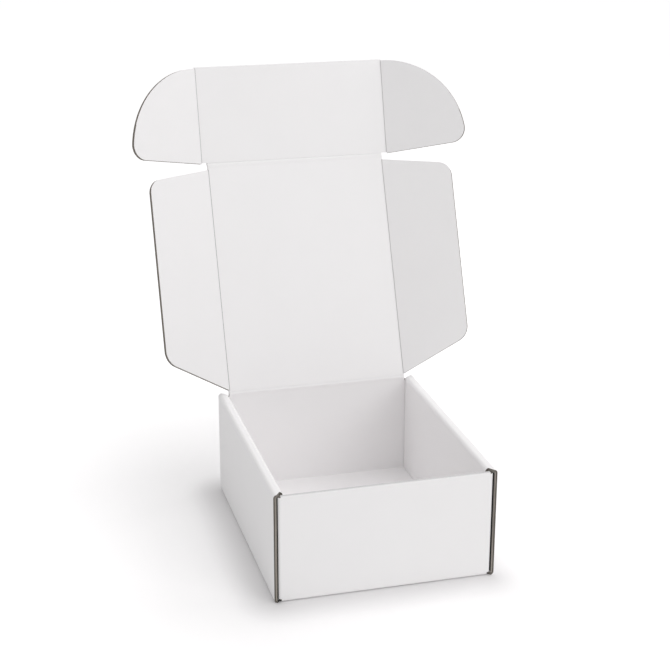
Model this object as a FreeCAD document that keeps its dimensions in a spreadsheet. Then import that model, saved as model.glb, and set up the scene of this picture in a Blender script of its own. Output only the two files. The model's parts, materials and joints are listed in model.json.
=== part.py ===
"""A small white corrugated mailer box, standing open: a tray with rolled double side walls, and a
lid with two dust flaps and a tuck flap with two ears. It is one folded blank. The panels that turn
at a crease are solids of their own, and the rest of the blank is the tray.

Millimetres and degrees. The origin is the centre of the tray's underside, -Y is the front, +Z up.
"""
import FreeCAD, Part
import os
import Sketcher

os.makedirs("parts", exist_ok=True)
doc = FreeCAD.newDocument("mailer_box")
V = FreeCAD.Vector

# Driving sizes: name, value, meaning
SIZES = [
    ("board", 1.6, "thickness of the corrugated board"),
    ("layer_gap", 0.2, "air between two layers of board that lie against each other"),
    ("bend", 0.2, "inside radius of a fold"),
    ("crease_gap", 0.2, "air between the two panels that meet at a moving crease"),
    ("crease_round", 0.7, "rounding of a panel's edge along a moving crease"),
    ("box_width", 112, "tray, left to right outside"),
    ("box_length", 132.5, "tray, front to back outside"),
    ("side_height", 57.3, "top of the rolled side walls"),
    ("front_drop", 1.1, "the front wall ends this much below the rolled side walls"),
    ("shoulder_room", 1.4, "room for the tuck flap between the front wall and the inner side walls"),
    ("tab_length", 44, "corner tab, along the side wall"),
    ("lock_length", 22, "lock tab of an inner side wall"),
    ("lock_spacing", 62, "between the two lock tabs of one side"),
    ("lock_clearance", 0.2, "between a lock tab and its slot, all round"),
    ("lid_clearance", 0.6, "between a folded dust flap and the inner side wall"),
    ("lid_lean", 22.7, "the lid leans back past upright"),
    ("tuck_clearance", 2.9, "between the closed tuck flap and the front wall"),
    ("tuck_floor_clearance", 2.4, "between the closed tuck flap and the bottom panel"),
    ("shoulder", 1.9, "the tuck flap's crease stands out past the inner side wall's face"),
    ("tuck_fold", 6.8, "tuck flap, folded in from the lid's plane"),
    ("dust_width", 39.4, "dust flap, from its crease to its outer edge"),
    ("dust_fold", 24.5, "dust flap, folded in from the lid's plane"),
    ("dust_heel", 1.4, "from the lid's crease to the dust flap's lower corner"),
    ("dust_head", 3.0, "from the tuck flap's crease to the dust flap's upper corner"),
    ("dust_heel_taper", 24.7, "slope of the dust flap's lower edge"),
    ("dust_head_taper", 10, "slope of the dust flap's upper edge"),
    ("dust_heel_round", 9.4, "radius of the dust flap's lower outer corner"),
    ("dust_head_round", 8, "radius of the dust flap's upper outer corner"),
    ("ear_fold", 29.5, "ear, folded in from the tuck flap's plane"),
    ("ear_drop", 6.0, "centre of the ear's big round, up from the tuck flap's crease"),
    ("ear_step", 0.6, "the ear's top is this much below the tuck flap's edge"),
    ("ear_heel", 0.4, "from the tuck flap's crease to the ear's lower corner"),
    ("ear_taper", 4.5, "slope of the ear's lower edge"),
    ("ear_corner", 8, "radius of the ear's lower outer corner"),
]

sheet = doc.addObject("Spreadsheet::Sheet", "sheet")
for row, (name, value, meaning) in enumerate(SIZES, start=1):
    sheet.set(f"A{row}", name)
    sheet.set(f"B{row}", str(value))
    sheet.setAlias(f"B{row}", name)
    sheet.set(f"C{row}", meaning)
doc.recompute()

# Places that several panels share, as formulas of the sheet's sizes
HALF_WIDTH = "sheet.box_width / 2"
HALF_LENGTH = "sheet.box_length / 2"
HALF_BOARD = "sheet.board / 2"
OUTER_BEND = "(sheet.board + sheet.bend)"
LAYER = "(sheet.board + sheet.layer_gap)"
OUTER_WALL_FACE = f"({HALF_WIDTH} - sheet.board)"
TAB_FACE = f"({HALF_WIDTH} - {LAYER})"
INNER_WALL_BACK = f"({HALF_WIDTH} - 2 * {LAYER})"
INNER_WALL_FACE = f"({INNER_WALL_BACK} - sheet.board)"
BEND_END = f"({TAB_FACE} - {OUTER_BEND})"
FRONT_SETBACK = "(sheet.board + sheet.shoulder_room)"
UNDER_STRIP = f"(sheet.side_height - {LAYER})"
FRONT_TOP = "(sheet.side_height - sheet.front_drop)"
LID_AXIS_Y = f"({HALF_LENGTH} - {HALF_BOARD})"
LID_AXIS_Z = "sheet.side_height"
LID_HALF = f"({INNER_WALL_FACE} - sheet.lid_clearance - {HALF_BOARD})"
LID_LENGTH = "(sheet.box_length - 2 * sheet.board - sheet.tuck_clearance)"
TUCK_HALF = f"({INNER_WALL_FACE} + sheet.shoulder)"
TUCK_HEIGHT = "(sheet.side_height - sheet.board - sheet.tuck_floor_clearance)"
PANEL_START = f"({HALF_BOARD} + sheet.crease_gap)"
EAR_RADIUS = f"({TUCK_HEIGHT} - sheet.ear_drop - sheet.ear_step)"

TOLERANCE = 0.001


def number(formula):
    """The value of a formula of the sheet's sizes."""
    return float(sheet.evalExpression(formula))


def new_sketch(body, role, name, lift="0"):
    """A sketch on one of the body's own planes, lifted along the plane's normal."""
    sketch = body.newObject("Sketcher::SketchObject", name)
    plane = next(item for item in body.Origin.OriginFeatures if item.Role == role)
    sketch.AttachmentSupport = (plane, "")
    sketch.MapMode = "FlatFace"
    sketch.setExpression("AttachmentOffset.Base.z", lift)
    return sketch


def bound(sketch, constraint, formula):
    """Adds a constraint whose value follows a formula of the sheet's sizes."""
    index = sketch.addConstraint(constraint)
    sketch.setExpression(f"Constraints[{index}]", formula)


def pin_point(sketch, item, end, x, y):
    """Holds a point of the sketch at x, y, both formulas."""
    bound(sketch, Sketcher.Constraint("DistanceX", -1, 1, item, end, number(x)), x)
    bound(sketch, Sketcher.Constraint("DistanceY", -1, 1, item, end, number(y)), y)


def end_near(sketch, item, point):
    """Which end of a line or arc lies at the point: 1 for its start, 2 for its end."""
    return min((1, 2), key=lambda end: (sketch.getPoint(item, end) - point).Length)


def tangent(sketch, first, second, point):
    """Joins two curves smoothly where both end at the point."""
    ends = (end_near(sketch, first, point), end_near(sketch, second, point))
    sketch.addConstraint(Sketcher.Constraint("Tangent", first, ends[0], second, ends[1]))


def corner_arc(before, here, after, radius):
    """The start, middle and end of the round between two straight edges that meet at here."""
    arm_in = (before - here).normalize()
    arm_out = (after - here).normalize()
    bisector = (arm_in + arm_out).normalize()
    cosine = arm_in * bisector
    sine = (1 - cosine ** 2) ** 0.5
    reach = radius * cosine / sine
    centre = here + bisector * (radius / sine)
    return here + arm_in * reach, centre - bisector * radius, here + arm_out * reach


def outline(sketch, corners):
    """Draws a closed outline of straight edges through the corners. A corner is x, y and, where
    the edge is rounded or the board is bent there, a radius. All are formulas."""
    count = len(corners)
    spots = [V(number(corner[0]), number(corner[1]), 0) for corner in corners]
    rounds = {}
    for index, corner in enumerate(corners):
        if len(corner) == 3:
            before, after = spots[index - 1], spots[(index + 1) % count]
            rounds[index] = corner_arc(before, spots[index], after, number(corner[2]))
    lines = []
    for index in range(count):
        after = (index + 1) % count
        start = rounds[index][2] if index in rounds else spots[index]
        finish = rounds[after][0] if after in rounds else spots[after]
        lines.append(sketch.addGeometry(Part.LineSegment(start, finish), False))
    for index, corner in enumerate(corners):
        line_in, line_out = lines[index - 1], lines[index]
        if index in rounds:
            start, middle, finish = rounds[index]
            arc = sketch.addGeometry(Part.Arc(start, middle, finish), False)
            tangent(sketch, line_in, arc, start)
            tangent(sketch, arc, line_out, finish)
            bound(sketch, Sketcher.Constraint("Radius", arc, number(corner[2])), corner[2])
            spot = sketch.addGeometry(Part.Point(spots[index]), True)
            sketch.addConstraint(Sketcher.Constraint("PointOnObject", spot, 1, line_in))
            sketch.addConstraint(Sketcher.Constraint("PointOnObject", spot, 1, line_out))
            pin_point(sketch, spot, 1, corner[0], corner[1])
        else:
            sketch.addConstraint(Sketcher.Constraint("Coincident", line_in, 2, line_out, 1))
            pin_point(sketch, line_out, 1, corner[0], corner[1])


def rectangle(sketch, left, right, low, high):
    outline(sketch, [(left, low), (right, low), (right, high), (left, high)])


def pad(body, sketch, length, both_ways=False):
    feature = body.newObject("PartDesign::Pad", sketch.Name + "_pad")
    feature.Profile = sketch
    feature.SideType = "Symmetric" if both_ways else "One side"
    feature.setExpression("Length", length)
    doc.recompute()
    return feature


def pocket(body, sketch, length, both_ways=False):
    """Cuts the sketch out of the body, upwards from its plane or both ways."""
    before = body.Shape.Volume
    feature = body.newObject("PartDesign::Pocket", sketch.Name + "_pocket")
    feature.Profile = sketch
    feature.SideType = "Symmetric" if both_ways else "One side"
    feature.Reversed = not both_ways
    feature.setExpression("Length", length)
    doc.recompute()
    if body.Shape.Volume >= before:
        raise ValueError(f"{feature.Name} cuts nothing")
    return feature


def round_creases(body, feature, sides, top=None):
    """Rounds a panel's edges along its creases: the edges at x = +-sides, and at y = top."""
    names = []
    long = 2 * number("sheet.board")
    for index, edge in enumerate(feature.Shape.Edges, start=1):
        box = edge.BoundBox
        along_side = abs(abs(box.Center.x) - sides) < TOLERANCE and box.YLength > long
        along_top = top is not None and abs(box.Center.y - top) < TOLERANCE and box.XLength > long
        if along_side or along_top:
            names.append(f"Edge{index}")
    fillet = body.newObject("PartDesign::Fillet", body.Name + "_crease_edges")
    fillet.Base = (feature, names)
    fillet.setExpression("Radius", "sheet.crease_round")
    doc.recompute()


def mirrored(corners):
    """The same outline on the other side of the middle, its x formulas turned round."""
    return [(f"-({corner[0]})", *corner[1:]) for corner in reversed(corners)]


def side_section():
    """The right side's fold, seen from the front, from the underside round to the floor's top:
    up the outer side wall, over the roll-over strip and down the inner side wall."""
    return [
        (HALF_WIDTH, "0", OUTER_BEND),
        (HALF_WIDTH, "sheet.side_height", OUTER_BEND),
        (INNER_WALL_FACE, "sheet.side_height", OUTER_BEND),
        (INNER_WALL_FACE, LAYER),
        (INNER_WALL_BACK, LAYER),
        (INNER_WALL_BACK, "sheet.side_height - sheet.board", "sheet.bend"),
        (OUTER_WALL_FACE, "sheet.side_height - sheet.board", "sheet.bend"),
        (OUTER_WALL_FACE, "sheet.board", "sheet.bend"),
    ]


def end_cut(setback, end):
    """What is cut off the rolled sides at one end, in plan: the outer walls keep their full
    length, the strip is cut back at a slant and the inner walls end at the setback."""
    face = f"{end} * {HALF_LENGTH}"
    back = f"{end} * ({HALF_LENGTH} - {setback})"
    beyond = f"{end} * ({HALF_LENGTH} + sheet.board)"
    right = [
        (OUTER_WALL_FACE, beyond),
        (OUTER_WALL_FACE, face),
        (INNER_WALL_BACK, back),
    ]
    return right + mirrored(right)


def corner_tab(side, end):
    """The bend from an end wall into its corner tab, in plan."""
    face = f"{end} * {HALF_LENGTH}"
    inside = f"{end} * ({HALF_LENGTH} - sheet.board)"
    tip = f"{end} * ({HALF_LENGTH} - sheet.tab_length)"
    root = f"{side} * ({BEND_END} - sheet.board)"
    return [
        (root, face),
        (f"{side} * {TAB_FACE}", face, OUTER_BEND),
        (f"{side} * {TAB_FACE}", tip),
        (f"{side} * ({TAB_FACE} - sheet.board)", tip),
        (f"{side} * ({TAB_FACE} - sheet.board)", inside, "sheet.bend"),
        (root, inside),
    ]


def lock_spots(sketch, clearance):
    """Four rectangles where the inner side walls' lock tabs go through the bottom panel."""
    half = f"(sheet.lock_length / 2 + {clearance})"
    for side in (-1, 1):
        near = f"{side} * ({INNER_WALL_FACE} - {clearance})"
        far = f"{side} * ({INNER_WALL_BACK} + {clearance})"
        for end in (-1, 1):
            middle = f"{end} * sheet.lock_spacing / 2"
            rectangle(sketch, near, far, f"{middle} - {half}", f"{middle} + {half}")


def make_tray():
    body = doc.addObject("PartDesign::Body", "tray")

    rolled_sides = new_sketch(body, "XZ_Plane", "rolled_sides")
    outline(rolled_sides, side_section() + mirrored(side_section()))
    pad(body, rolled_sides, "sheet.box_length", both_ways=True)

    end_cuts = new_sketch(body, "XY_Plane", "end_cuts")
    outline(end_cuts, end_cut(FRONT_SETBACK, -1))
    outline(end_cuts, end_cut(LAYER, 1))
    pocket(body, end_cuts, "3 * sheet.side_height", both_ways=True)

    end_walls = new_sketch(body, "YZ_Plane", "end_walls")
    outline(end_walls, [
        (f"-({HALF_LENGTH})", FRONT_TOP),
        (f"-({HALF_LENGTH})", "0", OUTER_BEND),
        (HALF_LENGTH, "0", OUTER_BEND),
        (HALF_LENGTH, UNDER_STRIP),
        (f"{HALF_LENGTH} - sheet.board", UNDER_STRIP),
        (f"{HALF_LENGTH} - sheet.board", "sheet.board", "sheet.bend"),
        (f"-({HALF_LENGTH} - sheet.board)", "sheet.board", "sheet.bend"),
        (f"-({HALF_LENGTH} - sheet.board)", FRONT_TOP),
    ])
    pad(body, end_walls, f"2 * {BEND_END}", both_ways=True)

    corner_tabs = new_sketch(body, "XY_Plane", "corner_tabs", lift=LAYER)
    for side in (-1, 1):
        for end in (-1, 1):
            outline(corner_tabs, corner_tab(side, end))
    pad(body, corner_tabs, f"{UNDER_STRIP} - {LAYER}")

    lid_crease = new_sketch(body, "YZ_Plane", "lid_crease")
    crease_top = f"{LID_AXIS_Z} + {HALF_BOARD}"
    outline(lid_crease, [
        (f"{HALF_LENGTH} - sheet.board", f"{UNDER_STRIP} - sheet.board"),
        (HALF_LENGTH, f"{UNDER_STRIP} - sheet.board"),
        (HALF_LENGTH, crease_top, "sheet.crease_round"),
        (f"{HALF_LENGTH} - sheet.board", crease_top, "sheet.crease_round"),
    ])
    pad(body, lid_crease, f"2 * ({LID_HALF} + {HALF_BOARD})", both_ways=True)

    lock_slots = new_sketch(body, "XY_Plane", "lock_slots")
    lock_spots(lock_slots, "sheet.lock_clearance")
    pocket(body, lock_slots, "sheet.board + sheet.layer_gap / 2")

    lock_tabs = new_sketch(body, "XY_Plane", "lock_tabs", lift="sheet.lock_clearance")
    lock_spots(lock_tabs, "0")
    pad(body, lock_tabs, f"2 * {LAYER} - sheet.lock_clearance")
    return body


def make_lid_panel():
    """The lid's panel, up from the back wall. The dust flaps and the tuck flap turn at its sides
    and top, so those edges are rounded and stand half a board's thickness past the creases."""
    body = doc.addObject("PartDesign::Body", "lid_panel")
    sides = f"({LID_HALF} + {HALF_BOARD})"
    top = f"({LID_LENGTH} + {HALF_BOARD})"
    blank = new_sketch(body, "XY_Plane", "lid_blank")
    rectangle(blank, f"-{sides}", sides, PANEL_START, top)
    feature = pad(body, blank, "sheet.board", both_ways=True)
    round_creases(body, feature, number(sides), number(top))
    body.setExpression("Placement", LID_PLACE)
    return body


def make_tuck_flap():
    """The tuck flap, up from the lid panel. The ears turn at its sides, and its top is a cut edge."""
    body = doc.addObject("PartDesign::Body", "tuck_flap")
    sides = f"({TUCK_HALF} + {HALF_BOARD})"
    blank = new_sketch(body, "XY_Plane", "tuck_blank")
    rectangle(blank, f"-{sides}", sides, PANEL_START, TUCK_HEIGHT)
    feature = pad(body, blank, "sheet.board", both_ways=True)
    round_creases(body, feature, number(sides))
    body.setExpression("Placement", TUCK_PLACE)
    return body


def make_dust_flap(name, placement):
    """A flap drawn from its crease outwards (x) and up along the lid (y)."""
    body = doc.addObject("PartDesign::Body", name)
    blank = new_sketch(body, "XY_Plane", name + "_blank")
    low, high = "sheet.dust_heel", f"({LID_LENGTH} - sheet.dust_head)"
    reach = f"(sheet.dust_width - {PANEL_START})"
    outline(blank, [
        (PANEL_START, low),
        ("sheet.dust_width", f"{low} + {reach} * tan(sheet.dust_heel_taper)", "sheet.dust_heel_round"),
        ("sheet.dust_width", f"{high} - {reach} * tan(sheet.dust_head_taper)", "sheet.dust_head_round"),
        (PANEL_START, high),
    ])
    pad(body, blank, "sheet.board", both_ways=True)
    body.setExpression("Placement", placement)
    return body


def make_ear(name, placement):
    """A quarter-round ear, drawn from its crease outwards (x) and up along the tuck flap (y)."""
    body = doc.addObject("PartDesign::Body", name)
    blank = new_sketch(body, "XY_Plane", name + "_blank")
    start, radius, corner = number(PANEL_START), number(EAR_RADIUS), number("sheet.ear_corner")
    centre = V(0, number("sheet.ear_drop"), 0)
    slope = V(number("cos(sheet.ear_taper)"), number("sin(sheet.ear_taper)"), 0)
    up = V(-slope.y, slope.x, 0)
    heel = V(start, number("sheet.ear_heel"), 0)
    # The small round's centre stands its radius above the lower edge and inside the big round
    offset = heel + up * corner - centre
    reach = -(offset * slope) + ((offset * slope) ** 2 - offset * offset + (radius - corner) ** 2) ** 0.5
    small = centre + offset + slope * reach
    lower_end = small - up * corner
    outward = (small - centre).normalize()
    round_start = centre + outward * radius
    tip = V(start, centre.y + (radius ** 2 - start ** 2) ** 0.5, 0)
    small_middle = small + (outward - up).normalize() * corner
    big_middle = centre + (outward + V(0, 1, 0)).normalize() * radius

    lower = blank.addGeometry(Part.LineSegment(heel, lower_end), False)
    small_arc = blank.addGeometry(Part.Arc(lower_end, small_middle, round_start), False)
    big_arc = blank.addGeometry(Part.Arc(round_start, big_middle, tip), False)
    crease = blank.addGeometry(Part.LineSegment(tip, heel), False)
    tangent(blank, lower, small_arc, lower_end)
    tangent(blank, small_arc, big_arc, round_start)
    tip_end = end_near(blank, big_arc, tip)
    blank.addConstraint(Sketcher.Constraint("Coincident", big_arc, tip_end, crease, 1))
    blank.addConstraint(Sketcher.Constraint("Coincident", crease, 2, lower, 1))
    blank.addConstraint(Sketcher.Constraint("Vertical", crease))
    pin_point(blank, lower, 1, PANEL_START, "sheet.ear_heel")
    pin_point(blank, big_arc, 3, "0", "sheet.ear_drop")
    bound(blank, Sketcher.Constraint("Radius", small_arc, corner), "sheet.ear_corner")
    bound(blank, Sketcher.Constraint("Radius", big_arc, radius), EAR_RADIUS)
    bound(blank, Sketcher.Constraint("Angle", lower, 0.0), "sheet.ear_taper")
    pad(body, blank, "sheet.board", both_ways=True)
    body.setExpression("Placement", placement)
    return body


def turned(x, y, z, axis, angle):
    """The place of a panel whose crease runs through x, y, z, turned about an axis."""
    return f"placement(vector({x}; {y}; {z}); rotation(vector({axis}); {angle}))"


LID_PLACE = turned("0", LID_AXIS_Y, LID_AXIS_Z, "1; 0; 0", "90 - sheet.lid_lean")
TUCK_PLACE = "lid_panel.Placement * " + turned("0", LID_LENGTH, "0", "1; 0; 0", "sheet.tuck_fold")

nodes = [make_tray(), make_lid_panel(), make_tuck_flap()]
# Both sides' flaps have one shape, and the left ones are turned over about their own creases
for side_name, side, turn in (("left", -1, "180 + "), ("right", 1, "-")):
    dust_turn = turned(f"{side} * {LID_HALF}", "0", "0", "0; 1; 0", turn + "sheet.dust_fold")
    ear_turn = turned(f"{side} * {TUCK_HALF}", "0", "0", "0; 1; 0", turn + "sheet.ear_fold")
    nodes.append(make_dust_flap("dust_flap_" + side_name, "lid_panel.Placement * " + dust_turn))
    nodes.append(make_ear("ear_" + side_name, "tuck_flap.Placement * " + ear_turn))
doc.recompute()

for item in doc.Objects:
    if "Invalid" in item.State or "Error" in item.State:
        raise ValueError(f"{item.Name} could not be built: {item.State}")
for node in nodes:
    if node.Shape.isNull() or not node.Shape.isValid() or len(node.Shape.Solids) != 1:
        raise ValueError(f"{node.Label} is not one valid solid")
for node in nodes:
    node.Shape.exportStep(f"parts/{node.Label}.step")
    print(node.Label, round(node.Shape.Volume, 1), "mm3")
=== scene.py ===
"""The looks of a small white corrugated mailer box that stands open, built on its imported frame.

Every panel gets its two paper faces, the cut edges show the fluted paper between them, and each
moving crease gets its pressed fold. Metres, +Z up, the front wall towards -Y.
"""
import json
import math

import bpy
from mathutils import Matrix, Vector

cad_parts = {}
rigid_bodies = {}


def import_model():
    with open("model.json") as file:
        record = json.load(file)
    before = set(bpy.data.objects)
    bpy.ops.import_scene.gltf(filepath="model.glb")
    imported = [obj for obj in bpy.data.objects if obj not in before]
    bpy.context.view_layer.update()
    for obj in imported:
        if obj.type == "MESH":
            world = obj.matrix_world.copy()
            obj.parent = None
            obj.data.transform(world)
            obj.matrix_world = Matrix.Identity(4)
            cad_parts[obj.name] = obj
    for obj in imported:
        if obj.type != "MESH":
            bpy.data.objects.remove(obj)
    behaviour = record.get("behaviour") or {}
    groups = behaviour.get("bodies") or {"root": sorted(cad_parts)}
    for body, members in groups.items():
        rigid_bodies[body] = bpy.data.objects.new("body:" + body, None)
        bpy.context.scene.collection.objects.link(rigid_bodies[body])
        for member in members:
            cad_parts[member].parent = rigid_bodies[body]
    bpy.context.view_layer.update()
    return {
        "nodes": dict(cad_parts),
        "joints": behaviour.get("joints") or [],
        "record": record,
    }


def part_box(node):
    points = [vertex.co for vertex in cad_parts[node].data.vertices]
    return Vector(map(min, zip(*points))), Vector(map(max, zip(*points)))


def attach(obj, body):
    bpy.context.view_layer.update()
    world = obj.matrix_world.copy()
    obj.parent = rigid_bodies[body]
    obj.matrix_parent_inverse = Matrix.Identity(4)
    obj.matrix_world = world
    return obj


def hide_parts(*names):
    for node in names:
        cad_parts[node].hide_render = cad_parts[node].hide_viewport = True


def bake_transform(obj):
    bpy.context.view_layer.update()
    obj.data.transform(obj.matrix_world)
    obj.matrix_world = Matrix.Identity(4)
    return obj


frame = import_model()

bl_info = {
    "name": "Corrugated mailer box",
    "version": (1, 0, 0),
    "blender": (4, 5, 0),
    "location": "3D View > Sidebar > Mailer Box",
    "description": "Builds the board, cut edges and creases of an open mailer box, and its studio",
    "category": "Add Mesh",
}

MM = 0.001
FRONT = Vector((0, -1, 0))
# The least cosine between a face's normal and a direction, for a face that is square to it and
# for one that only leans towards it
SQUARE, LEANING = 0.999, 0.5
JOINTS = {joint["name"]: joint for joint in frame["joints"]}
BODIES = frame["record"]["behaviour"]["bodies"]


def inner_normal(node):
    """The way that a panel's inner face points, which is the way of the largest of its triangles
    that face the front."""
    faces = [face for face in frame["nodes"][node].data.polygons
             if face.normal.dot(FRONT) > LEANING]
    return max(faces, key=lambda face: face.area).normal.copy()


def spread(node, direction):
    """The lowest and the highest place of a CAD node along a direction."""
    places = [vertex.co.dot(direction) for vertex in frame["nodes"][node].data.vertices]
    return min(places), max(places)


LID_LOW, LID_HIGH = spread("lid_panel", inner_normal("lid_panel"))
BOARD = LID_HIGH - LID_LOW
HALF_BOARD = BOARD / 2
TRAY_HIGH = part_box("tray")[1]
HALF_WIDTH = TRAY_HIGH.x
HALF_LENGTH = TRAY_HIGH.y
SMALL = 0.05 * MM
# The height of the strips that roll over the side walls
STRIP_TOP = JOINTS["lid_crease"]["pos_m"][2]
# The air between two layers of the tray that lie together
LAYER_GAP = 0.2 * MM
# Where an inner side wall's inside face stands, and how far back its ends lie from the tray's
INNER_WALL = HALF_WIDTH - 3 * BOARD - 2 * LAYER_GAP
END_SETBACK = 3 * MM


class BoardSettings(bpy.types.PropertyGroup):
    """The board's make-up and finish."""
    liner: bpy.props.FloatProperty(
        name="Liner", description="Thickness of the paper on each face of the board",
        default=0.22 * MM, min=0.1 * MM, max=0.5 * MM, precision=5, unit="LENGTH")
    medium: bpy.props.FloatProperty(
        name="Medium", description="Thickness of the fluted paper between the faces",
        default=0.2 * MM, min=0.1 * MM, max=0.4 * MM, precision=5, unit="LENGTH")
    flute_pitch: bpy.props.FloatProperty(
        name="Flute pitch", description="From one flute to the next",
        default=3.3 * MM, min=1.5 * MM, max=9 * MM, precision=5, unit="LENGTH")
    edge_depth: bpy.props.FloatProperty(
        name="Edge depth", description="How far an open cut edge can be seen into",
        default=1.8 * MM, min=0.5 * MM, max=4 * MM, precision=5, unit="LENGTH")
    press: bpy.props.FloatProperty(
        name="Crease press", description="Depth of the line pressed along a crease's inner side",
        default=0.42 * MM, min=0, max=0.6 * MM, precision=5, unit="LENGTH")
    bead: bpy.props.FloatProperty(
        name="Crease bead", description="Height of the bead along a crease's outer side",
        default=0.1 * MM, min=0, max=0.3 * MM, precision=5, unit="LENGTH")
    rim: bpy.props.FloatProperty(
        name="Crushed rim", description="Width of the rim that the knife crushes round a flap",
        default=0.16 * MM, min=0.05 * MM, max=0.3 * MM, precision=5, unit="LENGTH")
    band_width: bpy.props.FloatProperty(
        name="Band width", description="Width of the raised band beside a level crease",
        default=2.0 * MM, min=0.5 * MM, max=3 * MM, precision=5, unit="LENGTH")
    band_height: bpy.props.FloatProperty(
        name="Band height", description="Height of the raised band beside a level crease",
        default=0.22 * MM, min=0, max=0.3 * MM, precision=5, unit="LENGTH")
    paper: bpy.props.FloatVectorProperty(
        name="Paper", description="Colour of the board's white faces", subtype="COLOR",
        default=(0.925, 0.912, 0.918), min=0, max=1)
    cut_paper: bpy.props.FloatVectorProperty(
        name="Cut paper", description="Colour of the faces' own cut edges", subtype="COLOR",
        default=(0.25, 0.233, 0.213), min=0, max=1)
    kraft: bpy.props.FloatVectorProperty(
        name="Kraft", description="Colour of the fluted paper", subtype="COLOR",
        default=(0.42, 0.38, 0.338), min=0, max=1)


class StudioSettings(bpy.types.PropertyGroup):
    """The camera and the light."""
    camera_place: bpy.props.FloatVectorProperty(
        name="Camera", description="Where the camera stands", subtype="TRANSLATION",
        default=(-0.19894, -0.69678, 0.36793))
    azimuth: bpy.props.FloatProperty(
        name="Azimuth", description="The camera's turn about the box, from straight in front",
        default=math.radians(-14.936), subtype="ANGLE")
    elevation: bpy.props.FloatProperty(
        name="Elevation", description="The camera's angle above the horizon",
        default=math.radians(19.5035), subtype="ANGLE")
    lens: bpy.props.FloatProperty(
        name="Lens", description="Focal length on a 36 mm wide sensor, in millimetres",
        default=81.79, min=20, max=300)
    shift: bpy.props.FloatVectorProperty(
        name="Shift", description="The lens's shift, right and up", size=2,
        default=(0.0145, -0.0063))
    sky: bpy.props.FloatProperty(
        name="Sky", description="Strength of the light from all round",
        default=0.595, min=0, max=2)
    floor_glow: bpy.props.FloatProperty(
        name="Floor glow", description="What the camera sees the floor lifted by, towards white",
        default=0.24, min=0, max=1)


def board_settings():
    """The board's settings in the open scene."""
    return bpy.context.scene.mailer_board


def deselect_all():
    """Goes to object mode with nothing selected."""
    if bpy.context.mode != "OBJECT":
        bpy.ops.object.mode_set(mode="OBJECT")
    bpy.ops.object.select_all(action="DESELECT")


def activate(piece):
    """Makes a piece the only selected one and the active one, in object mode."""
    deselect_all()
    piece.select_set(True)
    bpy.context.view_layer.objects.active = piece


def edit(piece):
    """Opens a piece in edit mode with nothing in it selected."""
    activate(piece)
    bpy.ops.object.mode_set(mode="EDIT")
    bpy.ops.mesh.select_mode(type="FACE")
    bpy.ops.mesh.select_all(action="DESELECT")


def pick_faces(piece, test):
    """Opens a piece with those faces selected whose centre and normal pass the test."""
    edit(piece)
    bpy.ops.object.mode_set(mode="OBJECT")
    found = 0
    for face in piece.data.polygons:
        face.select = bool(test(face.center, face.normal))
        found += face.select
    bpy.ops.object.mode_set(mode="EDIT")
    if not found:
        raise ValueError(f"{piece.name} has no face where one was looked for")


def paint_picked(piece, slot):
    """Gives the selected faces one of the piece's materials, by its place in the list."""
    piece.active_material_index = slot
    bpy.ops.object.material_slot_assign()


def paint(piece, slot, test):
    """Gives the faces that pass the test one of the piece's materials, by its place in the list."""
    pick_faces(piece, test)
    paint_picked(piece, slot)


def add_modifier(piece, kind, **values):
    """Adds a modifier to the piece, sets it and applies it."""
    activate(piece)
    bpy.ops.object.modifier_add(type=kind)
    modifier = piece.modifiers[-1]
    for name, value in values.items():
        setattr(modifier, name, value)
    bpy.ops.object.modifier_apply(modifier=modifier.name)


def joined(name, pieces):
    """Joins pieces into the first one and names it."""
    activate(pieces[0])
    for piece in pieces:
        piece.select_set(True)
    bpy.ops.object.join()
    pieces[0].name = name
    pieces[0].data.name = name
    return pieces[0]


def panel_copy(name, node, place=Matrix.Identity(4)):
    """A clean copy of a CAD node's mesh, in the panel's own axes, with its flat faces whole."""
    mesh = frame["nodes"][node].data.copy()
    mesh.name = name
    mesh.materials.clear()
    mesh.transform(place.inverted())
    piece = bpy.data.objects.new(name, mesh)
    bpy.context.scene.collection.objects.link(piece)
    edit(piece)
    bpy.ops.mesh.customdata_custom_splitnormals_clear()
    bpy.ops.mesh.select_all(action="SELECT")
    bpy.ops.mesh.remove_doubles(threshold=0.001 * MM)
    bpy.ops.mesh.dissolve_degenerate(threshold=0.01 * MM)
    bpy.ops.mesh.dissolve_limited(angle_limit=math.radians(0.5))
    bpy.ops.mesh.select_all(action="DESELECT")
    bpy.ops.object.mode_set(mode="OBJECT")
    return piece


def finish_piece(piece, body=None):
    """Smooths a finished piece's rounds, keeps its flat faces flat and puts it on its body."""
    activate(piece)
    bpy.ops.object.shade_smooth_by_angle(angle=math.radians(32))
    add_modifier(piece, "WEIGHTED_NORMAL", keep_sharp=True, weight=80)
    if body:
        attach(piece, body)


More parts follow.
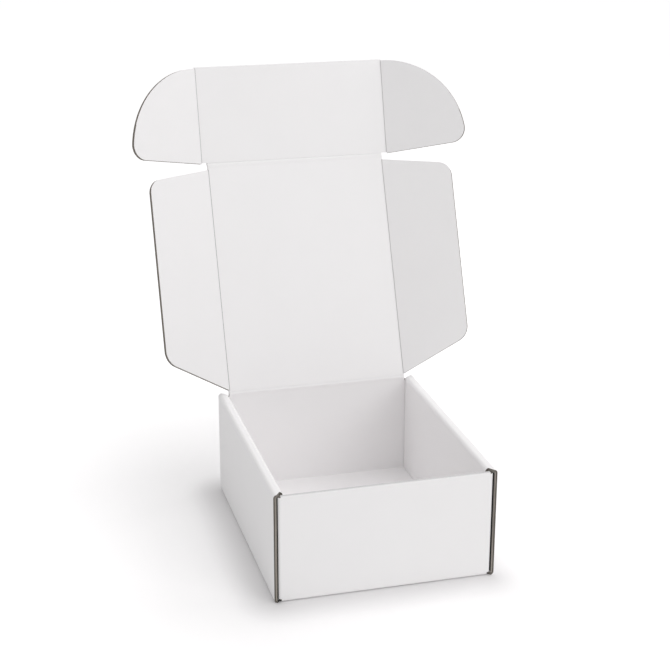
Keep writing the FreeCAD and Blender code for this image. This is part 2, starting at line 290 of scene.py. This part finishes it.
class NodeTree:
    """A material's nodes, added one after another and linked as they are added."""

    def __init__(self, name):
        self.material = bpy.data.materials.new(name)
        self.material.use_nodes = True
        self.nodes = self.material.node_tree.nodes
        self.links = self.material.node_tree.links
        self.shader = self.nodes["Principled BSDF"]
        self.object_place = self.add("ShaderNodeTexCoord").outputs["Object"]

    def add(self, kind, inputs=None, **values):
        """Adds a node. An input is a number, a colour or another node's output."""
        made = self.nodes.new(kind)
        for name, value in values.items():
            setattr(made, name, value)
        for name, value in (inputs or {}).items():
            if isinstance(value, bpy.types.NodeSocket):
                self.links.new(value, made.inputs[name])
            else:
                made.inputs[name].default_value = value
        return made

    def noise(self, scale, detail=2.0, roughness=0.5):
        """A noise of about 1 / scale metres, from 0 to 1."""
        return self.add("ShaderNodeTexNoise", {
            "Vector": self.object_place, "Scale": scale, "Detail": detail,
            "Roughness": roughness}).outputs[0]

    def ramp(self, value, low, high, start=0.0, stop=1.0, kind="LINEAR"):
        """Goes from low to high while a value goes from start to stop, and stays level beyond."""
        return self.add("ShaderNodeMapRange", {
            "Value": value, "From Min": start, "From Max": stop, "To Min": low, "To Max": high},
            interpolation_type=kind).outputs[0]

    def math(self, operation, *values):
        """What a Math node makes of its numbers."""
        return self.add("ShaderNodeMath", dict(enumerate(values)), operation=operation).outputs[0]

    def vector_math(self, operation, *values, output="Vector"):
        """What a Vector Math node makes of its vectors: a vector, or a number in output Value."""
        return self.add("ShaderNodeVectorMath", dict(enumerate(values)),
                        operation=operation).outputs[output]

    def mix(self, factor, first, second):
        """A colour between two others. A Mix node has sockets of the same names for each type,
        so the colours' own go by number."""
        return self.add("ShaderNodeMix", {0: factor, 6: first, 7: second},
                        data_type="RGBA").outputs[2]

    def bump(self, height, distance, below=None):
        """A bump of a height in metres, laid on the bump below it."""
        inputs = {"Height": height, "Distance": distance, "Strength": 1.0}
        if below:
            inputs["Normal"] = below
        return self.add("ShaderNodeBump", inputs).outputs[0]

    def link(self, output, socket):
        """Leads an output into one of the shader's inputs."""
        self.links.new(output, self.shader.inputs[socket])


def shade(colour, factor):
    """A colour made lighter or darker, with its alpha."""
    return (*(min(channel * factor, 1.0) for channel in colour[:3]), 1.0)


def white_paper(name, across, level):
    """The board's white face: fine fibres, faint clouds in the paper and the flutes that just show
    through it as a ripple. across is the way in which one flute follows the next, and level scales
    the board's own white; on the flaps it is below 1, as painted shade."""
    board = board_settings()
    paper = shade(board.paper, level)
    tree = NodeTree(name)
    clouds = tree.noise(55, detail=3)
    warmth = tree.noise(14, detail=1)
    speckle = tree.noise(1400, detail=3, roughness=0.6)
    fibres = tree.noise(4200, detail=4, roughness=0.65)
    cloudy = tree.mix(clouds, shade(paper, 0.985), shade(paper, 1.012))
    warm = (paper[0] * 1.004, paper[1] * 0.998, paper[2] * 0.988, 1.0)
    tinted = tree.mix(tree.ramp(warmth, 0.0, 0.5), cloudy, warm)
    tree.link(tree.mix(tree.ramp(speckle, 0.0, 0.05), tinted, shade(paper, 0.8)), "Base Color")
    tree.link(tree.ramp(speckle, 0.66, 0.84), "Roughness")
    run = tree.vector_math("DOT_PRODUCT", tree.object_place, across, output="Value")
    turns = tree.math("MULTIPLY", run, 2 * math.pi / board.flute_pitch)
    rippled = tree.bump(tree.math("SINE", turns), 0.0028 * MM)
    clouded = tree.bump(clouds, 0.05 * MM, below=rippled)
    tree.link(tree.bump(fibres, 0.022 * MM, below=clouded), "Normal")
    tree.shader.inputs["Specular IOR Level"].default_value = 0.35
    return tree.material


def cut_paper():
    """The cut edge of a face: the raw inside of the paper, torn a little by the knife."""
    board = board_settings()
    tree = NodeTree("cut_paper")
    fray = tree.noise(2600, detail=4, roughness=0.7)
    patches = tree.noise(420, detail=2)
    base = tree.mix(patches, shade(board.cut_paper, 0.82), shade(board.cut_paper, 1.2))
    tree.link(tree.mix(tree.ramp(fray, 0.0, 0.5), base, shade(board.cut_paper, 0.6)), "Base Color")
    tree.link(tree.ramp(fray, 0.8, 0.98), "Roughness")
    tree.link(tree.bump(fray, 0.06 * MM), "Normal")
    tree.shader.inputs["Specular IOR Level"].default_value = 0.2
    return tree.material


def kraft_paper():
    """The fluted paper and the faces' unbleached backs, seen in an open cut edge."""
    board = board_settings()
    tree = NodeTree("kraft_paper")
    fibres = tree.noise(1900, detail=5, roughness=0.7)
    flecks = tree.noise(700, detail=2)
    base = tree.mix(fibres, shade(board.kraft, 0.75), shade(board.kraft, 1.3))
    tree.link(tree.mix(tree.ramp(flecks, 0.0, 0.4), base, shade(board.kraft, 0.6)), "Base Color")
    tree.link(tree.ramp(fibres, 0.82, 0.97), "Roughness")
    tree.link(tree.bump(fibres, 0.05 * MM), "Normal")
    tree.shader.inputs["Specular IOR Level"].default_value = 0.2
    return tree.material


def darkened_paper(name, darkness):
    """White paper made darker by a share, darkness, with a faint crushed grain. Along the bottom of
    a pressed line the darkening is painted shade, deeper in the creases on the left; it also greys
    the front wall's cut top.
    """
    board = board_settings()
    tree = NodeTree(name)
    crush = tree.noise(900, detail=3)
    light, dark = 1 - 0.8 * darkness, 1 - 1.2 * darkness
    tree.link(tree.mix(crush, shade(board.paper, light), shade(board.paper, dark)), "Base Color")
    tree.link(tree.ramp(crush, 0.7, 0.9), "Roughness")
    tree.link(tree.bump(crush, 0.03 * MM), "Normal")
    tree.shader.inputs["Specular IOR Level"].default_value = 0.25
    return tree.material


def shaded_paper():
    """Painted shade: a near-black paper for the unlit inside of the narrow gap between two layers
    of board at a corner.
    """
    tree = NodeTree("shaded_paper")
    fibres = tree.noise(1700, detail=3)
    tree.link(tree.mix(fibres, (0.05, 0.049, 0.05, 1), (0.09, 0.087, 0.085, 1)), "Base Color")
    tree.shader.inputs["Roughness"].default_value = 0.95
    tree.shader.inputs["Specular IOR Level"].default_value = 0.1
    return tree.material


# The places of the materials in a board piece's list. Only the tray has the last two
WHITE, CUT, KRAFT, WHITE_ENDS, SHADE = range(5)
# Painted shade on the flaps: the share of the board's white that their paper is given, though it is
# the same paper
DUST_FLAP_SHADE, EAR_SHADE = 0.95, 0.94


def material(name, make, *values):
    """A material by its name, made when it is first asked for."""
    return bpy.data.materials.get(name) or make(*values)


def add_material(piece, made):
    """Adds a material to a piece's list and gives its place there."""
    piece.data.materials.append(made)
    return len(piece.data.materials) - 1


def white_for(part):
    """The white paper of a part of the blank, whose flutes follow one another its own way."""
    up_lid = Vector(JOINTS["dust_crease_left"]["axis"])
    up_tuck = Vector(JOINTS["ear_crease_left"]["axis"])
    across, level = {
        "sides": (Vector((0, 1, 0)), 1.0),
        "ends": (Vector((0, 0, 1)), 1.0),
        "lid": (up_lid, 1.0),
        "tuck": (up_tuck, 1.0),
        # The flaps' white is darkened as painted shade
        "dust": (up_lid, DUST_FLAP_SHADE),
        "ear": (up_tuck, EAR_SHADE),
    }[part]
    name = "white_paper_" + part
    return material(name, white_paper, name, across, level)


def give_board_materials(piece, part):
    """Gives a piece the list of the board's materials, with the white of its part of the blank."""
    piece.data.materials.clear()
    add_material(piece, white_for(part))
    add_material(piece, material("cut_paper", cut_paper))
    add_material(piece, material("kraft_paper", kraft_paper))
    if part == "sides":
        add_material(piece, white_for("ends"))
        add_material(piece, material("shaded_paper", shaded_paper))


class Crease:
    """Where a panel turns: its place, the way along it, and the panel's ways out and in.
    The panel's own axes are along the crease, out from it, and its inner face's normal."""

    def __init__(self, joint_name):
        joint = JOINTS[joint_name]
        self.parent, self.child = joint["parent"], joint["child"]
        self.parent_node, self.node = BODIES[self.parent][0], BODIES[self.child][0]
        self.at = Vector(joint["pos_m"])
        self.along = Vector(joint["axis"]).normalized()
        self.inner = inner_normal(self.node)
        self.out = self.inner.cross(self.along)
        self.parent_inner = FRONT.copy()
        if self.parent_node != "tray":
            self.parent_inner = inner_normal(self.parent_node)
        self.parent_out = self.parent_inner.cross(self.along)
        self.fold = self.parent_out.angle(self.out)
        if self.parent_inner.dot(self.out) < 0:
            self.fold = -self.fold
        turn = Matrix((self.along, self.out, self.inner)).transposed().to_4x4()
        self.place = Matrix.Translation(self.at) @ turn
        parent_turn = Matrix((self.along, self.parent_out, self.parent_inner)).transposed().to_4x4()
        self.parent_place = Matrix.Translation(self.at) @ parent_turn

    def reach(self):
        """How far the child runs along the crease, past its place."""
        low, high = spread(self.node, self.along)
        middle = self.at.dot(self.along)
        return low - middle, high - middle

    def length(self):
        """Where both panels lie beside the crease: its start and end, past its place."""
        low, high = spread(self.parent_node, self.along)
        middle = self.at.dot(self.along)
        start, end = self.reach()
        return max(start, low - middle), min(end, high - middle)


def open_cut_edge(piece):
    """Makes the selected faces an open cut edge: the two faces' own edges are left as thin rims,
    the space between them is sunk, and the fluted paper stands in it as one long ridge."""
    board = board_settings()
    ridge_side = (BOARD - 2 * board.liner - board.medium) / 2
    ridge_height = 0.9 * board.edge_depth
    paint_picked(piece, CUT)
    bpy.ops.mesh.inset(thickness=board.liner, depth=0, use_even_offset=False)
    raise_picked(-board.edge_depth)
    bpy.ops.mesh.select_more()
    paint_picked(piece, KRAFT)
    bpy.ops.mesh.select_less()
    bpy.ops.mesh.inset(thickness=ridge_side, depth=0, use_even_offset=False)
    raise_picked(ridge_height)
    bpy.ops.mesh.select_more()
    paint_picked(piece, KRAFT)


def raise_picked(height):
    """Extrudes the selected faces along their normals, inwards where the height is negative."""
    bpy.ops.mesh.extrude_region_shrink_fatten(
        TRANSFORM_OT_shrink_fatten={"value": height, "use_even_offset": False})


def fluted_sheet(name, low, high, reach):
    """The waved paper between a flap's faces. Its waves follow one another along x, from low to
    high, and each flute runs out along y, as far as the reach."""
    board = board_settings()
    steps_per_wave = 12
    margin = board.flute_pitch / 2
    run = high - low + 2 * margin
    steps = math.ceil(run / board.flute_pitch * steps_per_wave)
    deselect_all()
    bpy.ops.mesh.primitive_grid_add(x_subdivisions=steps, y_subdivisions=1, size=1)
    sheet = bpy.context.object
    sheet.name = name
    sheet.scale = (run, reach + 2 * margin, 1)
    sheet.location = ((low + high) / 2, reach / 2, 0)
    bpy.ops.object.transform_apply(location=True, rotation=False, scale=True)
    overlap = 0.1 * board.medium
    height = HALF_BOARD - board.liner - board.medium / 2 + overlap
    for vertex in sheet.data.vertices:
        vertex.co.z = height * math.sin(2 * math.pi * vertex.co.x / board.flute_pitch)
    add_modifier(sheet, "SOLIDIFY", thickness=board.medium, offset=0, use_even_offset=True)
    return sheet


def paper_face(name, blank, side):
    """One of a flap's two paper faces: the flap's outline, as thick as the paper. side is 1 for
    the inner face and -1 for the outer one."""
    board = board_settings()
    mesh = blank.data.copy()
    face = bpy.data.objects.new(name, mesh)
    bpy.context.scene.collection.objects.link(face)
    edit(face)
    bpy.ops.mesh.select_all(action="SELECT")
    bpy.ops.mesh.bisect(
        plane_co=(0, 0, side * (HALF_BOARD - board.liner)), plane_no=(0, 0, side),
        use_fill=True, clear_inner=True)
    bpy.ops.object.mode_set(mode="OBJECT")
    return face


def crush_and_shade_rim(face, start, up):
    """Presses down the rim of a flap's inner face, as the cutting knife leaves it, and paints the
    rim dark in the cut paper's colour, as painted shade along the flap's outline. The rim is left
    white at the crease, which is the start of the flap, and, as painted light, where it faces up
    towards the light. up is 1 where the flap's own x points up and -1 where it points down."""
    board = board_settings()
    drop = board.rim / 2
    facing_up = 0.15
    # Painted shade: the rim is dark all round, then left white at the crease and, as painted light,
    # where it faces up
    paint(face, CUT, lambda centre, normal: normal.z > SQUARE)
    bpy.ops.transform.translate(value=(0, 0, -drop))
    bpy.ops.mesh.inset(thickness=board.rim, depth=drop, use_even_offset=False)
    paint_picked(face, WHITE)
    paint(face, WHITE, lambda centre, normal: (
        LEANING < normal.z < SQUARE
        and (centre.y < start + board.rim or normal.x * up > facing_up)))
    bpy.ops.object.mode_set(mode="OBJECT")


def fluted_flap(crease, part):
    """A flap cut from the board on all its free edges, so that its flutes show there: two paper
    faces and the waved paper between them, all in the flap's outline."""
    node = crease.node
    blank = panel_copy(node + "_blank", node, crease.place)
    low, high = crease.reach()
    start = min(vertex.co.y for vertex in blank.data.vertices)
    reach = max(vertex.co.y for vertex in blank.data.vertices)
    faces = [paper_face(node + "_face", blank, 1), paper_face(node + "_back", blank, -1)]
    for face in faces:
        give_board_materials(face, part)
        paint(face, CUT, lambda centre, normal: abs(normal.z) < LEANING)
        paint(face, KRAFT, lambda centre, normal: (
            normal.z * centre.z < -LEANING * abs(centre.z)))
    crush_and_shade_rim(faces[0], start, math.copysign(1, crease.along.z))
    sheet = fluted_sheet(node + "_flutes", low, high, reach)
    add_modifier(sheet, "BOOLEAN", operation="INTERSECT", solver="EXACT", object=blank)
    give_board_materials(sheet, part)
    edit(sheet)
    bpy.ops.mesh.select_all(action="SELECT")
    paint_picked(sheet, KRAFT)
    bpy.ops.object.mode_set(mode="OBJECT")
    bpy.data.objects.remove(blank)
    flap = joined(node + "_board", [*faces, sheet])
    flap.data.transform(crease.place)
    finish_piece(flap, crease.child)
    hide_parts(node)


# Where a fold's paper bends, and where its ends lie on the two panels, as places past the crease
BEND_START, BEND_END = 0.1 * MM, 1.0 * MM
FOLD_ROOT, FOLD_TIP = -0.3 * MM, 1.3 * MM
# How far below the board's faces the fold's ends lie, and its places next to the bend
TUCKED, FLUSH = 0.02 * MM, 0.008 * MM
# The pressed line: places past the crease, and the depth at each as a share of the press
PRESSED_LINE = ((0.5 * MM, 0.2), (0.74 * MM, 0.55), (0.88 * MM, 1.0), (0.98 * MM, 0.45))
# The raised band: its paper's run past it, its edge's height, the two ends of its top as shares
# of its width, and its share of the press at the crease
BAND_RUN, BAND_EDGE = 0.15 * MM, 0.01 * MM
BAND_TOP = (-0.35, -0.08)
BAND_PRESS = 0.1
# How deep a banded crease is pressed beside the others, and how high the bead is at its quarters
BANDED_PRESS, BEAD_SHOULDER = 0.5, 0.7
# Painted shade along the bottom of a pressed line: how dark it is made where its crease is level,
# or upright on the left or the right side of the box, the left creases getting more shade
CREASE_SHADE_DARKNESS = {"level": 0.04, "left": 0.42, "right": 0.22}


def crease_profile(board, banded):
    """The fold's section across a crease, from the parent to the child, as places past the crease
    and heights above the board's middle: a pressed line inside and a bead outside. A banded
    crease also has the raised band that the fold's own roll leaves on the parent."""
    under, face = HALF_BOARD - TUCKED, HALF_BOARD - FLUSH
    press = board.press * (BANDED_PRESS if banded else 1)
    if banded:
        width, top = board.band_width, HALF_BOARD + board.band_height
        inner = [(-width - BAND_RUN, under), (-width, HALF_BOARD + BAND_EDGE)]
        inner += [(share * width, top) for share in BAND_TOP]
        inner += [(BEND_START, HALF_BOARD - BAND_PRESS * press)]
    else:
        inner = [(FOLD_ROOT, under), (BEND_START, face)]
    inner += [(spot, HALF_BOARD - share * press) for spot, share in PRESSED_LINE]
    inner += [(FOLD_TIP, under)]
    middle = (BEND_START + BEND_END) / 2
    quarter = (BEND_END - BEND_START) / 4
    shoulder = -HALF_BOARD - BEAD_SHOULDER * board.bead
    outer = [
        (FOLD_ROOT, -under), (BEND_START, -face), (middle - quarter, shoulder),
        (middle, -HALF_BOARD - board.bead), (middle + quarter, shoulder),
        (BEND_END, -face), (FOLD_TIP, -under),
    ]
    return inner + outer[::-1]


def creased_fold(name, crease, part):
    """The paper that goes on from one panel to the next through a moving crease."""
    banded = abs(crease.along.x) > SQUARE
    profile = crease_profile(board_settings(), banded)
    low, high = crease.length()
    deselect_all()
    bpy.ops.mesh.primitive_cylinder_add(vertices=len(profile), radius=BOARD, depth=high - low)
    fold = bpy.context.object
    fold.name = name
    for vertex in fold.data.vertices:
        spot, height = profile[vertex.index // 2]
        share = min(max((spot - BEND_START) / (BEND_END - BEND_START), 0), 1)
        turn = crease.fold * share * share * (3 - 2 * share)
        across = spot * math.cos(turn) - height * math.sin(turn)
        above = spot * math.sin(turn) + height * math.cos(turn)
        vertex.co = (high if vertex.co.z > 0 else low, across, above)
    edit(fold)
    bpy.ops.mesh.select_all(action="SELECT")
    bpy.ops.mesh.normals_make_consistent(inside=False)
    bpy.ops.object.mode_set(mode="OBJECT")
    give_board_materials(fold, part)
    way = "level" if banded else "left" if crease.at.x < 0 else "right"
    paper = "darkened_paper_" + way
    pressed = add_material(fold, material(paper, darkened_paper, paper, CREASE_SHADE_DARKNESS[way]))
    # The bottom of the pressed line is painted in shade
    paint(fold, pressed, lambda centre, normal: (
        abs(normal.x) < LEANING and centre.z > 0 and BEND_START + SMALL < centre.y < BEND_END))
    paint(fold, CUT, lambda centre, normal: abs(normal.x) > SQUARE)
    bpy.ops.object.mode_set(mode="OBJECT")
    fold.data.transform(crease.parent_place)
    finish_piece(fold)
    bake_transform(fold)


# How dark the front wall's cut top is beside the white paper
PALE_CUT_DARKNESS = 0.3


def is_end_face(centre, normal):
    """Whether a face belongs to the front or the back wall, or looks the same way."""
    return abs(normal.y) > 0.7


def is_wall_end(side, end):
    """A test for the raw end of an outer side wall, at one corner of the tray."""
    return lambda centre, normal: (
        normal.y * end > SQUARE and centre.y * end > HALF_LENGTH - SMALL
        and centre.x * side > HALF_WIDTH - BOARD - SMALL)


def is_inner_end(side, end):
    """A test for the raw end of an inner side wall, at one corner of the tray."""
    return lambda centre, normal: (
        normal.y * end > SQUARE and SMALL < HALF_LENGTH - centre.y * end < END_SETBACK + SMALL
        and INNER_WALL - SMALL < centre.x * side < INNER_WALL + BOARD + SMALL)


def is_front_top(centre, normal):
    """Whether a face is the top edge of the front wall."""
    return normal.z > SQUARE and centre.y < 0 and STRIP_TOP - BOARD < centre.z < STRIP_TOP - SMALL


def is_corner_gap(centre, normal):
    """Whether a face lies deep between an outer side wall and the bend of the wall beside it, where
    the tray is painted in shade.
    """
    depth = 0.3 * BOARD
    upright = abs(normal.z) < 0.1
    across = abs(centre.x) - (HALF_WIDTH - BOARD - LAYER_GAP)
    return (upright and HALF_LENGTH - abs(centre.y) > depth
            and -depth < across < LAYER_GAP + SMALL
            and SMALL < centre.z < STRIP_TOP - HALF_BOARD)


def is_other_cut(centre, normal):
    """Whether a face is one of the tray's cut edges that are too small or hidden to be opened."""
    slanted = 0.3 < abs(normal.y) < 0.95 and abs(normal.z) < 0.01
    if slanted:
        return (HALF_LENGTH - abs(centre.y) < END_SETBACK
                and normal.x * centre.x < 0 < normal.y * centre.y)
    tab_top = normal.z > SQUARE and STRIP_TOP - 2 * BOARD < centre.z < STRIP_TOP - BOARD
    slot_side = (abs(normal.x) > SQUARE and centre.z < BOARD
                 and abs(centre.x) < INNER_WALL + 2 * BOARD)
    tab_end = normal.z < -SQUARE and SMALL < centre.z < BOARD
    return tab_top or slot_side or tab_end


class MAILER_OT_tray(bpy.types.Operator):
    """Build the tray with its rolled sides and its open cut edges"""
    bl_idname = "mailer.tray"
    bl_label = "Tray"

    def execute(self, context):
        piece = panel_copy("tray_board", "tray")
        give_board_materials(piece, "sides")
        pale_cut = add_material(
            piece, material("pale_cut", darkened_paper, "pale_cut", PALE_CUT_DARKNESS))
        # The gaps deep at the corners are painted in shade
        for slot, test in ((WHITE_ENDS, is_end_face), (CUT, is_other_cut),
                           (SHADE, is_corner_gap), (pale_cut, is_front_top)):
            paint(piece, slot, test)
        for end in (-1, 1):
            for side in (-1, 1):
                for test in (is_wall_end(side, end), is_inner_end(side, end)):
                    pick_faces(piece, test)
                    open_cut_edge(piece)
        bpy.ops.object.mode_set(mode="OBJECT")
        finish_piece(piece, "tray")
        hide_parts("tray")
        return {"FINISHED"}


class MAILER_OT_lid_panel(bpy.types.Operator):
    """Give the lid's panel its white paper"""
    bl_idname = "mailer.lid_panel"
    bl_label = "Lid panel"

    def execute(self, context):
        panel = frame["nodes"]["lid_panel"]
        give_board_materials(panel, "lid")
        return {"FINISHED"}


class MAILER_OT_tuck_flap(bpy.types.Operator):
    """Build the tuck flap with its open cut edge along the top"""
    bl_idname = "mailer.tuck_flap"
    bl_label = "Tuck flap"

    def execute(self, context):
        crease = Crease("tuck_crease")
        piece = panel_copy("tuck_flap_board", "tuck_flap", crease.place)
        give_board_materials(piece, "tuck")
        top = max(vertex.co.y for vertex in piece.data.vertices)
        pick_faces(piece, lambda centre, normal: normal.y > SQUARE and centre.y > top - SMALL)
        open_cut_edge(piece)
        bpy.ops.object.mode_set(mode="OBJECT")
        piece.data.transform(crease.place)
        finish_piece(piece, crease.child)
        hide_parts("tuck_flap")
        return {"FINISHED"}


class MAILER_OT_flaps(bpy.types.Operator):
    """Build the two dust flaps and the two ears, whose flutes show along their free edges"""
    bl_idname = "mailer.flaps"
    bl_label = "Dust flaps and ears"

    def execute(self, context):
        for side in ("left", "right"):
            fluted_flap(Crease("dust_crease_" + side), "dust")
            fluted_flap(Crease("ear_crease_" + side), "ear")
        return {"FINISHED"}


class MAILER_OT_creases(bpy.types.Operator):
    """Build the pressed folds of the six creases that move"""
    bl_idname = "mailer.creases"
    bl_label = "Creases"

    def execute(self, context):
        parts = {"lid_crease": "ends", "tuck_crease": "lid"}
        for name in JOINTS:
            part = parts.get(name, "lid" if name.startswith("dust") else "tuck")
            creased_fold(name.replace("crease", "fold"), Crease(name), part)
        return {"FINISHED"}


def background_rays(nodes, links):
    """A value that is 1 for the rays that show the background: the camera's own, and those that
    reach it through gloss or glass."""
    rays = nodes.new("ShaderNodeLightPath")
    shown = rays.outputs["Is Camera Ray"]
    for name in ("Is Glossy Ray", "Is Transmission Ray"):
        either = nodes.new("ShaderNodeMath")
        either.operation = "MAXIMUM"
        links.new(shown, either.inputs[0])
        links.new(rays.outputs[name], either.inputs[1])
        shown = either.outputs[0]
    return shown


# The middle of the floor's painted shadow, where the camera sees no glow: the shift that brings it
# to the origin, and its half sizes
SHADOW_SHIFT = (0.06 * HALF_WIDTH, 0.02 * HALF_LENGTH, 0)
SHADOW_HALF = (0.93 * HALF_WIDTH, 0.94 * HALF_LENGTH, 0)
# How fast the shadow fades to the sides and to the front and back, beside a plain distance
SHADOW_FADE = (1.15, 0.97, 1.0)
# The distances over which the floor is lifted to white: close to the shadow, round it and far off
NEAR_FLOOR, ROUND_FLOOR, FAR_FLOOR = 27 * MM, (20 * MM, 170 * MM), (0.5, 3.0)
FAR_GLOW = 0.05
# The floor's white as it is seen and as it lights the box. Where it lights the box it is painted
# darker at the left wall's foot, as shade, so that the wall's lower part gets less light
FLOOR_SEEN = (0.8, 0.788, 0.793, 1)
FLOOR_WHITE, FOOT_SHADE = (0.92, 0.92, 0.92, 1), (0.7, 0.7, 0.7, 1)
FOOT_START, FOOT_REACH = -0.8 * HALF_WIDTH, 40 * MM


def floor_material(glow):
    """A white floor. The camera sees it lifted to white by a painted glow of light, nil close to
    the box and growing away from it, so that the shadow round the box is the rendered shadow cut to
    a painted shape. The white that lights the box is made darker at the left wall's foot, as
    painted shade."""
    tree = NodeTree("studio_floor")
    seen = background_rays(tree.nodes, tree.links)
    tree.shader.inputs["Roughness"].default_value = 1.0
    tree.shader.inputs["Specular IOR Level"].default_value = 0.0
    # How far outside the shadow's middle a place on the floor lies
    moved = tree.vector_math("ADD", tree.object_place, SHADOW_SHIFT)
    folded = tree.vector_math("ABSOLUTE", moved)
    past = tree.vector_math("SUBTRACT", folded, SHADOW_HALF)
    outside = tree.vector_math("MAXIMUM", past, (0, 0, 0))
    scaled = tree.vector_math("MULTIPLY", outside, SHADOW_FADE)
    away = tree.vector_math("LENGTH", scaled, output="Value")
    near = tree.ramp(away, 0.0, glow, 0.0, NEAR_FLOOR, kind="SMOOTHSTEP")
    beyond = tree.math("ADD", tree.ramp(away, 0.0, glow, *ROUND_FLOOR),
                       tree.ramp(away, 0.0, FAR_GLOW, *FAR_FLOOR))
    lift = tree.math("ADD", near, beyond)
    # Painted light: for the camera the floor glows by the lift, which leaves the painted shadow
    # round the box
    tree.shader.inputs["Emission Color"].default_value = (1, 1, 1, 1)
    tree.link(tree.math("MULTIPLY", seen, lift), "Emission Strength")
    # Painted shade: the floor that the camera doesn't see is darker at the left wall's foot
    across = tree.add("ShaderNodeSeparateXYZ", {0: tree.object_place}).outputs[0]
    left = tree.ramp(across, 0.0, 1.0, FOOT_START, -HALF_WIDTH)
    close = tree.ramp(away, 1.0, 0.0, 0.0, FOOT_REACH)
    unseen = tree.mix(tree.math("MULTIPLY", left, close), FLOOR_WHITE, FOOT_SHADE)
    tree.link(tree.mix(seen, unseen, FLOOR_SEEN), "Base Color")
    return tree.material


# The width of the camera's sensor, in millimetres
SENSOR_WIDTH = 36
# The width of the floor, and the place that the soft lights look at
FLOOR_SIZE = 12
LIT_PLACE = Vector((0, 0, 0.1))


def add_softbox(name, place, size, power):
    """A square soft light that looks at the box."""
    light = bpy.data.lights.new(name, "AREA")
    light.shape = "SQUARE"
    light.size = size
    light.energy = power
    lamp = bpy.data.objects.new(name, light)
    bpy.context.scene.collection.objects.link(lamp)
    lamp.location = place
    lamp.rotation_euler = (LIT_PLACE - Vector(place)).to_track_quat("-Z", "Y").to_euler()


class MAILER_OT_studio(bpy.types.Operator):
    """Set up the camera, the white floor, the sky and the soft lights"""
    bl_idname = "mailer.studio"
    bl_label = "Studio"

    def execute(self, context):
        scene = context.scene
        studio = scene.mailer_studio
        scene.view_settings.view_transform = "Standard"

        camera = bpy.data.objects.new("camera", bpy.data.cameras.new("camera"))
        scene.collection.objects.link(camera)
        turn, rise = studio.azimuth, studio.elevation
        level = math.cos(rise)
        back = Vector((math.sin(turn) * level, -math.cos(turn) * level, math.sin(rise)))
        camera.location = studio.camera_place
        camera.rotation_euler = (-back).to_track_quat("-Z", "Y").to_euler()
        camera.data.sensor_width = SENSOR_WIDTH
        camera.data.lens = studio.lens
        camera.data.shift_x, camera.data.shift_y = studio.shift
        scene.camera = camera

        deselect_all()
        bpy.ops.mesh.primitive_plane_add(size=FLOOR_SIZE, location=(0, 0, -SMALL))
        floor = context.object
        floor.name = "studio_floor"
        floor.data.materials.append(floor_material(studio.floor_glow))

        world = bpy.data.worlds.new("studio_sky")
        scene.world = world
        world.use_nodes = True
        nodes, links = world.node_tree.nodes, world.node_tree.links
        sky = nodes["Background"]
        sky.inputs["Color"].default_value = (1, 1, 1, 1)
        strength = nodes.new("ShaderNodeMapRange")
        links.new(background_rays(nodes, links), strength.inputs["Value"])
        strength.inputs["To Min"].default_value = studio.sky
        strength.inputs["To Max"].default_value = 1.0
        links.new(strength.outputs[0], sky.inputs["Strength"])

        add_softbox("key", (0.65, -1.0, 0.68), size=0.8, power=3.5)
        add_softbox("side", (0.95, 0.1, 0.8), size=0.7, power=2.4)
        add_softbox("top", (0.1, 0.0, 1.4), size=1.2, power=3.6)
        return {"FINISHED"}


class MAILER_PT_build(bpy.types.Panel):
    """Builds the mailer box, piece by piece"""
    bl_idname = "MAILER_PT_build"
    bl_label = "Mailer box"
    bl_space_type = "VIEW_3D"
    bl_region_type = "UI"
    bl_category = "Mailer Box"

    def draw(self, context):
        layout = self.layout
        for settings in (context.scene.mailer_board, context.scene.mailer_studio):
            column = layout.column(align=True)
            for name in settings.__annotations__:
                column.prop(settings, name)
        column = layout.column(align=True)
        for operator in OPERATORS:
            column.operator(operator.bl_idname)


SETTINGS = (BoardSettings, StudioSettings)
OPERATORS = (MAILER_OT_studio, MAILER_OT_tray, MAILER_OT_lid_panel, MAILER_OT_tuck_flap,
             MAILER_OT_flaps, MAILER_OT_creases)
CLASSES = SETTINGS + OPERATORS + (MAILER_PT_build,)


def register():
    """Makes the settings, operators and panel known, and gives each scene its settings."""
    for item in CLASSES:
        bpy.utils.register_class(item)
    bpy.types.Scene.mailer_board = bpy.props.PointerProperty(type=BoardSettings)
    bpy.types.Scene.mailer_studio = bpy.props.PointerProperty(type=StudioSettings)


def unregister():
    """Takes back what register made known."""
    del bpy.types.Scene.mailer_studio
    del bpy.types.Scene.mailer_board
    for item in reversed(CLASSES):
        bpy.utils.unregister_class(item)


def main():
    """Builds everything in order."""
    register()
    bpy.ops.mailer.studio()
    bpy.ops.mailer.tray()
    bpy.ops.mailer.lid_panel()
    bpy.ops.mailer.tuck_flap()
    bpy.ops.mailer.flaps()
    bpy.ops.mailer.creases()


if __name__ == "__main__":
    main()
